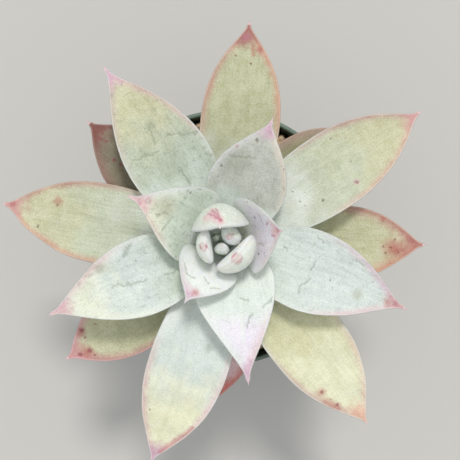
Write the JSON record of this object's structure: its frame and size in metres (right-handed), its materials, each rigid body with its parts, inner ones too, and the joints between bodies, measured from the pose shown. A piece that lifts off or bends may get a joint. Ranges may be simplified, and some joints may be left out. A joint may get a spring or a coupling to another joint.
{
  "type": "potted echeveria",
  "caption": "Rosette of fleshy, pointed, pale green leaves with pink tips, growing from gritty soil in a round tapered nursery pot.",
  "frame": {"origin": "middle of the pot's flat base", "axes": "+Z up, along the pot's axis. Seen from above, +Y is up and +X is right in the picture."},
  "size_m": [0.1701, 0.175, 0.1381],
  "materials": {
    "pot": "satin",
    "soil": "matte",
    "stem": "matte",
    "heart": "matte",
    "bud": "matte",
    "hooded": "matte",
    "young": "matte",
    "inner": "matte",
    "middle": "matte",
    "outer": "matte"
  },
  "bodies": {
    "root": {"pot": "pot", "soil": "soil", "stem": "stem", "leaf_00": "heart", "leaf_01": "heart", "leaf_02": "heart", "leaf_03": "bud", "leaf_04": "bud", "leaf_05": "hooded", "leaf_06": "young", "leaf_07": "young", "leaf_08": "inner", "leaf_09": "inner", "leaf_10": "middle", "leaf_11": "middle", "leaf_12": "middle", "leaf_13": "middle", "leaf_14": "outer", "leaf_15": "outer", "leaf_16": "outer", "leaf_17": "outer", "leaf_18": "outer", "leaf_19": "outer", "leaf_20": "outer", "leaf_21": "outer", "leaf_22": "outer", "leaf_23": "outer"}
  },
  "joints": []
}
